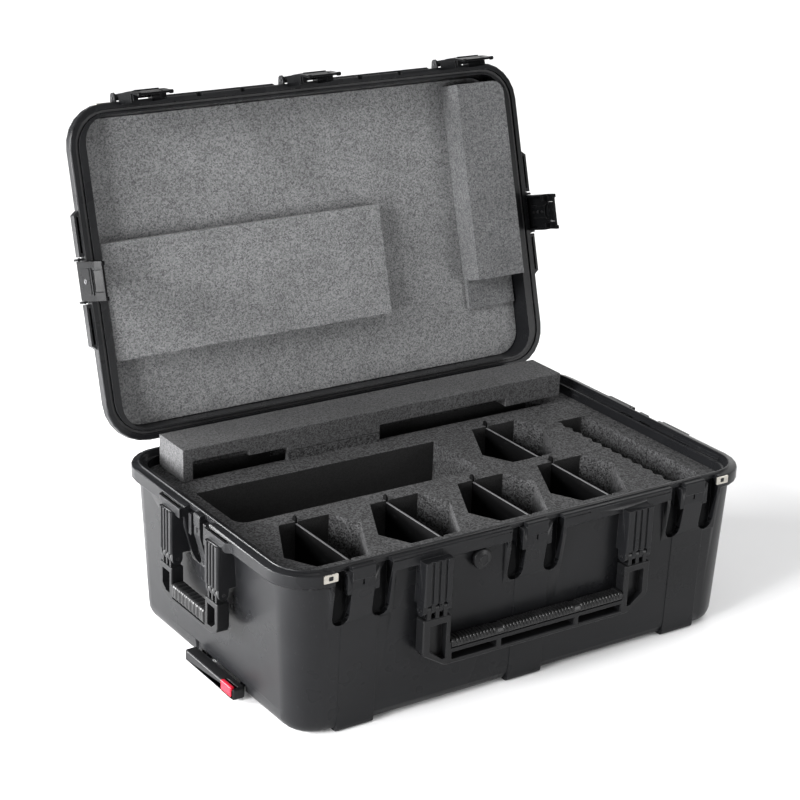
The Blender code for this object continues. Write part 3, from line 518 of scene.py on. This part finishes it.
# The grooves beside a latch, in the base's leaning walls: their lowest and highest points, how far
# one reaches along the wall, and how far under the wall's surface its faces start.  A wall has its
# distance from the case's middle at its foot, its lean over its rise, the distance that no groove
# goes inside, and the grooves' offset from the latch.
GROOVE_LOW, GROOVE_HIGH, GROOVE_REACH, GROOVE_SKIN = 146.0, 226.0, 13.7, 1.0
WALL_FOOT, WALL_RISE = 28.0, 198.0
FRONT_WALL = {"half": 233.3, "lean": 6.2, "inner": 229.4, "offset": 31.0}
END_WALL = {"half": 371.0, "lean": 12.0, "inner": 369.4, "offset": 22.0}


def in_groove(out, along, z, half, lean, inner, offset):
    """Whether a point out from the case's middle, along the wall from a latch, lies in a groove."""
    surface = half + lean * (z - WALL_FOOT) / WALL_RISE
    sunk = inner < out < surface - GROOVE_SKIN
    return sunk and GROOVE_LOW < z < GROOVE_HIGH and abs(abs(along) - offset) < GROOVE_REACH


def shell(name):
    """A copy of a shell's CAD mesh, face for face, shaded smooth."""
    bm = cad_shape(name, whole=False)
    return finish(name + "_skin", bm, SHELL, body_of(name), nodes=(name,), smooth=19.0)


base_skin = shell("base_shell")
shell("lid_shell")
# The faces inside the grooves get the darker latch plastic: painted shade in the recesses.
base_skin.data.materials.append(LATCH)
stations = [JOINTS[f"latch_front_{end}_hinge"]["pos_m"][0] / MM for end in ENDS]
for face in base_skin.data.polygons:
    x, y, z = face.center / MM
    near = min(stations, key=lambda station: abs(station - x))
    if in_groove(-y, x - near, z, **FRONT_WALL) or in_groove(abs(x), y, z, **END_WALL):
        face.material_index = 1


# ---------------------------------------------------------------- foam

GRID_START = 0.37
LONG_WAVE, SHORT_WAVE, SHORT_SHARE = 34.0, 9.0, 0.35
FOAM_SHADE_BELOW = 0.2235  # metres: below this, the base foam's pocket walls and floors get painted shade
noise.seed_set(1)  # left alone, the noise is seeded from the clock


def spongy(bm, step, waver, seed):
    """Crosses a foam shape with a grid and lets its skin waver a little."""
    corners = [v.co for v in bm.verts]
    for axis in range(3):
        low = min(c[axis] for c in corners)
        high = max(c[axis] for c in corners)
        for i in range(1, int((high - low) / step)):
            normal = [0.0, 0.0, 0.0]
            normal[axis] = 1.0
            point = [0.0, 0.0, 0.0]
            point[axis] = low + i * step + GRID_START
            geom = list(bm.verts) + list(bm.edges) + list(bm.faces)
            bmesh.ops.bisect_plane(bm, geom=geom, dist=0.0005, plane_co=point, plane_no=normal)
    shift = Vector((seed * 17.3, seed * 5.1, seed * 9.7))
    for vert in bm.verts:
        vert.co += noise.noise_vector(vert.co / LONG_WAVE + shift) * waver
        vert.co += noise.noise_vector(vert.co / SHORT_WAVE + shift) * waver * SHORT_SHARE
    return bm


def foam_copy(name, material, edge, step, waver, seed):
    """A foam piece with its cut edges eased and its skin a little uneven."""
    bm = spongy(chamfered(cad_shape(name), edge), step, waver, seed)
    made = finish(name + "_cut", bm, material, body_of(name), nodes=(name,), smooth=40.0)
    return made


base = foam_copy("base_foam", BASE_FOAM, edge=0.9, step=24.0, waver=0.22, seed=1)
base.data.materials.append(BASE_FOAM_SHADE)
# Walls and floors below the top get a darker foam as painted shade, apart from the walls facing -X,
# which the light reaches.
for face in base.data.polygons:
    if face.center.z < FOAM_SHADE_BELOW and face.normal.x > -0.5:
        face.material_index = 1
rear = foam_copy("rear_foam_block", REAR_FOAM, edge=1.1, step=16.0, waver=0.25, seed=2)
rear.data.materials.append(REAR_END)
for face in rear.data.polygons:
    if abs(face.normal.x) > 0.9:
        face.material_index = 1
foam_copy("lid_foam_sheet", LID_FOAM, edge=1.2, step=20.0, waver=0.35, seed=3)
foam_copy("lid_foam_long_block", LID_FOAM, edge=1.6, step=14.0, waver=0.35, seed=4)
foam_copy("lid_foam_tall_block", TALL_FOAM_SHADED, edge=1.6, step=14.0, waver=0.35, seed=5)


# ---------------------------------------------------------------- divider boards

DIVIDERS = 5
BOARD_ROUND = 0.35
STRIP_HALF, STRIP_SHORT, STRIP_SUNK, STRIP_PROUD = 1.4, 1.0, 0.2, 0.7
PEG_HALF = 1.5
PEG = ((9.0, 0.0), (9.0, 8.0), (6.5, 10.5), (3.0, 10.5), (1.0, 8.0), (1.0, 0.0))  # (from the end, up)


def divider(name):
    """A board with a paler top edge and a peg at its rear end that stands out of the foam."""
    low, high = limits(name)
    x, top = (low.x + high.x) / 2, high.z
    rounded_copy(name, DIVIDER, BOARD_ROUND)
    strip = box((x - STRIP_HALF, low.y + STRIP_SHORT, top - STRIP_SUNK),
                (x + STRIP_HALF, high.y - STRIP_SHORT, top + STRIP_PROUD))
    finish(name + "_edge", chamfered(strip, BOARD_ROUND), DIVIDER_EDGE, body_of(name))
    outline = [(high.y - back, top + up) for back, up in PEG]
    peg = plate(outline, x - PEG_HALF, x + PEG_HALF, "YZ", rim=0.3)
    finish(name + "_peg", peg, DIVIDER, body_of(name))


for number in range(1, DIVIDERS + 1):
    divider(f"divider_{number}")


# ---------------------------------------------------------------- latches

# In a latch's own axes: its outer face, its middle, and what stands on and in it.
OUTER_FACE = -4.8
MIDDLE_Z = -27.0
PANEL, PANEL_OUT = (19.0, 15.0, 3.0), -6.1
LIP, LIP_OUT, LIP_Z = (20.0, 1.6, 1.5), -6.6, -48.6
LUG_START, LUG_END, LUG_RADIUS, LUG_Y, LUG_Z = 22.4, 28.3, 2.9, 1.4, -76.4
RIB, RIB_OUT, RIB_IN, RIB_X, RIB_Z = (1.3, 17.0, 1.2), -2.8, 1.9, 9.5, -30.0
BOW_Z, BOW_OUTER, BOW_INNER, BOW_OUT = -62.0, 17.0, 15.2, -4.2
BOW_START, BOW_END, BOW_STEPS = 42, 138, 14
LOCK = [(1.4, 5.9), (1.4, 6.7), (2.2, 7.0), (3.6, 7.0), (4.3, 6.4), (4.3, 5.9)]
STUD = [(AXIS_RADIUS, 1.0), (2.1, 0.9), (2.5, 0.2), (2.5, -1.0), (AXIS_RADIUS, -1.0)]
STUD_Y, STUD_HEIGHTS = -0.9, (-14.0, -25.0, -36.0)


def latch_trim():
    """A raised panel and lip outside, two ribs and a bow inside, and a lug on each arm."""
    panel = plate(round_box(*PANEL), PANEL_OUT, OUTER_FACE, "XZ", rim=0.35)
    lip = plate(round_box(*LIP), LIP_OUT, OUTER_FACE, "XZ", rim=0.4)
    parts = [moved(panel, 0, 0, MIDDLE_Z), moved(lip, 0, 0, LIP_Z)]
    for side in (-1, 1):
        rib = plate(round_box(*RIB), RIB_OUT, RIB_IN, "XZ", rim=0.4)
        parts.append(moved(rib, side * RIB_X, 0, RIB_Z))
    bow = arc((0, BOW_Z), BOW_OUTER, BOW_START, BOW_END, BOW_STEPS)
    bow += arc((0, BOW_Z), BOW_INNER, BOW_END, BOW_START, BOW_STEPS)
    parts.append(plate(bow, BOW_OUT, RIB_IN, "XZ", rim=0.4))
    for side in (-1, 1):
        lug = rod((side * LUG_START, LUG_Y, LUG_Z), (side * LUG_END, LUG_Y, LUG_Z), LUG_RADIUS, sides=20)
        parts.append(chamfered(lug, width=0.9))
    return together(parts)


def latch_studs():
    """Rivets down the latch's inner face."""
    studs = []
    for height in STUD_HEIGHTS:
        stud = lathe(STUD, sides=20)
        bmesh.ops.rotate(stud, cent=(0, 0, 0), matrix=Matrix.Rotation(math.pi, 3, "X"), verts=stud.verts)
        studs.append(moved(stud, 0, STUD_Y, height))
    return together(studs)


def latch(name):
    """The latch and its trigger with their edges broken, its trim, its lock and its rivets."""
    axes = latch_frame(name)
    body = body_of(name)
    rounded_copy(name, LATCH, width=0.55)
    rounded_copy(name + "_trigger", LATCH, width=0.35)
    finish(name + "_trim", latch_trim(), LATCH, body, axes)
    finish(name + "_lock", moved(lathe(LOCK, sides=28), 0, 0, MIDDLE_Z), PIN, body, axes)
    finish(name + "_studs", latch_studs(), PIN, body, axes)


for each in LATCHES:
    latch(each)


# ---------------------------------------------------------------- handles

RIB_STEPS, RIB_POWER = 7, 2.2  # rings to a rib, and how narrow a groove is
PLAIN_END, BREAK_REACH, BREAK_DEPTH = 0.7, 0.9, 0.75  # shares of a rib's pitch and depth
END_LENGTH, END_ROUND = 2.0, 1.4
FADE = 0.15  # of the bar's half height, from plain to ribbed


def ribbed_bar(name, along, pitch, depth, corner, breaks=(), ribs_from=-1.0):
    """A soft grip: a rounded bar with grooves across it every pitch, plain at its ends and breaks
    and below ribs_from, a share of its half height."""
    low, high = limits(name)
    middle, half = (low + high) / 2, (high - low) / 2
    length = half[along]
    wide, tall = [axis for axis in (0, 1, 2) if axis != along]
    section = round_box(half[wide], half[tall], corner)
    steps = int(2 * length / pitch * RIB_STEPS)
    rings = []
    for step in range(steps + 1):
        place = -length + 2 * length * step / steps
        groove = (0.5 + 0.5 * math.cos(2 * math.pi * place / pitch)) ** RIB_POWER
        if any(abs(place - gap) < pitch * BREAK_REACH for gap in breaks):
            groove = BREAK_DEPTH
        if abs(place) > length - pitch * PLAIN_END:
            groove = 0.0
        end = min(1.0, (length - abs(place)) / END_LENGTH)
        turned_in = END_ROUND * (1.0 - math.sqrt(1.0 - (1.0 - end) ** 2))
        ring = []
        for u, v in section:
            ribbed = min(1.0, max(0.0, (v / half[tall] - ribs_from) / FADE))
            sink = depth * groove * ribbed + turned_in
            point = Vector((0.0, 0.0, 0.0))
            point[wide] = u * (1.0 - sink / half[wide])
            point[tall] = v * (1.0 - sink / half[tall])
            point[along] = place
            ring.append(point + middle)
        rings.append(ring)
    finish(name + "_ribs", loft(rings), GRIP, body_of(name), nodes=(name,), smooth=50.0)


for side in HANDLES:
    rounded_copy(f"{side}_handle", HANDLE, width=0.7)
ribbed_bar("front_grip", 0, pitch=5.6, depth=2.1, corner=5.0, breaks=(-67.0, 67.0), ribs_from=0.05)
for side in ("left", "right"):
    ribbed_bar(f"{side}_grip", 1, pitch=10.4, depth=1.5, corner=6.0)


# ---------------------------------------------------------------- valve and hasps

# The valve cap's outline: shares of its radius, and millimetres in from its outer end.
VALVE_OUTLINE = ((0.0, 0.6), (0.38, 0.7), (0.42, 1.5), (0.50, 1.5), (0.54, 0.9), (0.80, 2.0),
                 (0.95, 3.2), (1.0, 4.6), (1.0, 9.2), (0.96, 10.3), (0.0, 10.3))
HASP_CORNER, HASP_RIM = 1.6, 0.45
HASP_HOLE = (3.4, 2.9, 1.2)


def valve(name):
    """A domed cap with a ring groove round its middle."""
    low, high = limits(name)
    middle = (low + high) / 2
    radius = (high.x - low.x) / 2
    out = high.y - low.y
    outline = [(max(AXIS_RADIUS, radius * share), out - back) for share, back in VALVE_OUTLINE]
    cap = lathe(outline, sides=48)
    moved(cap, middle.x, high.y, middle.z)
    finish(name + "_cap", cap, HANDLE, body_of(name), nodes=(name,))


def hasp(name, space):
    """A steel plate with a padlock hole."""
    low, high = limits(name, space)
    middle = (low + high) / 2
    outline = round_box((high.x - low.x) / 2, (high.z - low.z) / 2, HASP_CORNER, 4)
    hole = round_box(*HASP_HOLE, 3)
    shape = plate(outline, 0.0, high.y - low.y, "XZ", HASP_RIM, (hole,))
    moved(shape, middle.x, high.y, middle.z)
    finish(name + "_plate", shape, STEEL, body_of(name), space, nodes=(name,))


valve("pressure_valve")
for side in ("left", "right"):
    hasp(f"base_hasp_{side}", UNMOVED)
    hasp(f"lid_hasp_{side}", LID)


# ---------------------------------------------------------------- trolley and wheels

TYRE_INNER = 0.66  # of the tyre's radius
SHOULDER, SHOULDER_STEP = 2.6, 0.9
TREAD_GROOVES, TREAD_TOP, TREAD_FLOOR, TREAD_DEPTH = (4.4, 0.0, -4.4), 1.1, 0.7, 1.0


def wheel(end):
    """A grooved tyre on its hub."""
    tyre, hub = f"wheel_tyre_{end}", f"wheel_hub_{end}"
    low, high = limits(tyre)
    middle = (low + high) / 2
    radius, half = (high.z - low.z) / 2, (high.y - low.y) / 2
    inner, floor_radius = radius * TYRE_INNER, radius - TREAD_DEPTH
    profile = [(inner, half), (radius - SHOULDER, half), (radius - SHOULDER_STEP, half - SHOULDER_STEP),
               (radius, half - SHOULDER)]
    for groove in TREAD_GROOVES:
        profile += [(radius, groove + TREAD_TOP), (floor_radius, groove + TREAD_FLOOR),
                    (floor_radius, groove - TREAD_FLOOR), (radius, groove - TREAD_TOP)]
    profile += [(radius, SHOULDER - half), (radius - SHOULDER_STEP, SHOULDER_STEP - half),
                (radius - SHOULDER, -half), (inner, -half)]
    tread = moved(lathe(profile, sides=72), *middle)
    finish(tyre + "_tread", tread, TYRE, body_of(tyre), nodes=(tyre,))
    rounded_copy(hub, WHEEL, width=0.5)


rounded_copy("trolley_handle", HANDLE, width=1.6, segments=3)
rounded_copy("trolley_button", BUTTON, width=0.9)
rounded_copy("trolley_outer_frame", TUBE, width=0.3)
wheel("front")
wheel("rear")


# ---------------------------------------------------------------- camera, lights and floor

SENSOR, LENS = 36.0, 93.85
AZIMUTH, ELEVATION, ROLL = -34.08, 20.72, 1.91
TARGET, DISTANCE = Vector((0.05273, 0.17956, 0.2716)), 3.19725
WHITE = (1.0, 1.0, 1.0, 1.0)
FILL_LIGHT = 0.20
FLOOR_SIZE, FLOOR_DROP = 14.0, 0.0004


def camera():
    """Looks at the target from an azimuth, an elevation and a distance, rolled a little."""
    data = bpy.data.cameras.new("camera")
    data.sensor_width = SENSOR
    data.lens = LENS
    cam = bpy.data.objects.new("camera", data)
    SCENE.collection.objects.link(cam)
    azimuth, elevation, roll = (math.radians(a) for a in (AZIMUTH, ELEVATION, ROLL))
    back = Vector((math.sin(azimuth) * math.cos(elevation), -math.cos(azimuth) * math.cos(elevation),
                   math.sin(elevation)))
    right = UP.cross(back).normalized()
    above = back.cross(right)
    tilted_right = right * math.cos(roll) + above * math.sin(roll)
    tilted_up = above * math.cos(roll) - right * math.sin(roll)
    turn = Matrix((tilted_right, tilted_up, back)).transposed().to_4x4()
    cam.matrix_world = Matrix.Translation(TARGET + back * DISTANCE) @ turn
    data.clip_start, data.clip_end = 0.1, 60.0
    SCENE.camera = cam


def softbox(name, place, aim, size, power):
    """A rectangular light at a place, aimed at another."""
    data = bpy.data.lights.new(name, "AREA")
    data.shape = "RECTANGLE"
    data.size, data.size_y = size
    data.energy = power
    lamp = bpy.data.objects.new(name, data)
    SCENE.collection.objects.link(lamp)
    lamp.location = place
    lamp.rotation_euler = (Vector(aim) - Vector(place)).to_track_quat("-Z", "Y").to_euler()


def distant(name, toward, strength, spread_deg):
    """A far softbox: light from one direction, soft by the angle it fills."""
    data = bpy.data.lights.new(name, "SUN")
    data.energy = strength
    data.angle = math.radians(spread_deg)
    lamp = bpy.data.objects.new(name, data)
    SCENE.collection.objects.link(lamp)
    lamp.rotation_euler = Vector(toward).to_track_quat("Z", "Y").to_euler()


def surroundings():
    """A white backdrop to the camera, and a weak even fill to everything else."""
    world = bpy.data.worlds.new("studio")
    world.use_nodes = True
    SCENE.world = world
    tree = world.node_tree
    tree.nodes.clear()
    seen = node(tree, "ShaderNodeLightPath")
    plain = node(tree, "ShaderNodeBackground", {"Color": WHITE, "Strength": 1.0})
    fill = node(tree, "ShaderNodeBackground", {"Color": WHITE, "Strength": FILL_LIGHT})
    pick = node(tree, "ShaderNodeMixShader")
    out = node(tree, "ShaderNodeOutputWorld")
    tree.links.new(seen.outputs["Is Camera Ray"], pick.inputs[0])
    tree.links.new(fill.outputs[0], pick.inputs[1])
    tree.links.new(plain.outputs[0], pick.inputs[2])
    tree.links.new(pick.outputs[0], out.inputs["Surface"])


def floor():
    """A pale paper floor, just under the case."""
    bm = bmesh.new()
    bmesh.ops.create_grid(bm, x_segments=1, y_segments=1, size=FLOOR_SIZE)
    mesh = bpy.data.meshes.new("floor")
    bm.to_mesh(mesh)
    bm.free()
    obj = bpy.data.objects.new("floor", mesh)
    SCENE.collection.objects.link(obj)
    obj.location.z = -FLOOR_DROP
    made, tree, shader = blank("floor_paper", (0.90, 0.90, 0.905), 0.75)
    fibre = noise_of(tree, coords(tree), scale=900.0, detail=3.0)
    bumped(tree, shader, [(fibre, 0.1, 0.0002)])
    mesh.materials.append(made)


camera()
surroundings()
floor()
distant("key", toward=(-1.0, -0.11, 0.42), strength=4.5, spread_deg=20.0)
distant("top", toward=(0.05, -0.45, 1.0), strength=0.95, spread_deg=60.0)
distant("back", toward=(1.0, 0.45, 0.42), strength=1.8, spread_deg=80.0)
softbox("side", place=(-2.2, 1.3, 0.50), aim=(-0.3, -0.1, 0.15), size=(1.1, 0.8), power=230.0)
softbox("edge", place=(-2.7, -1.15, 0.20), aim=(-0.35, -0.2, 0.15), size=(0.4, 1.3), power=85.0)
softbox("front", place=(1.7, -2.4, 0.7), aim=(0.45, -0.2, 0.10), size=(0.9, 0.9), power=28.0)
SCENE.view_settings.view_transform = "Standard"
SCENE.view_settings.look = "None"
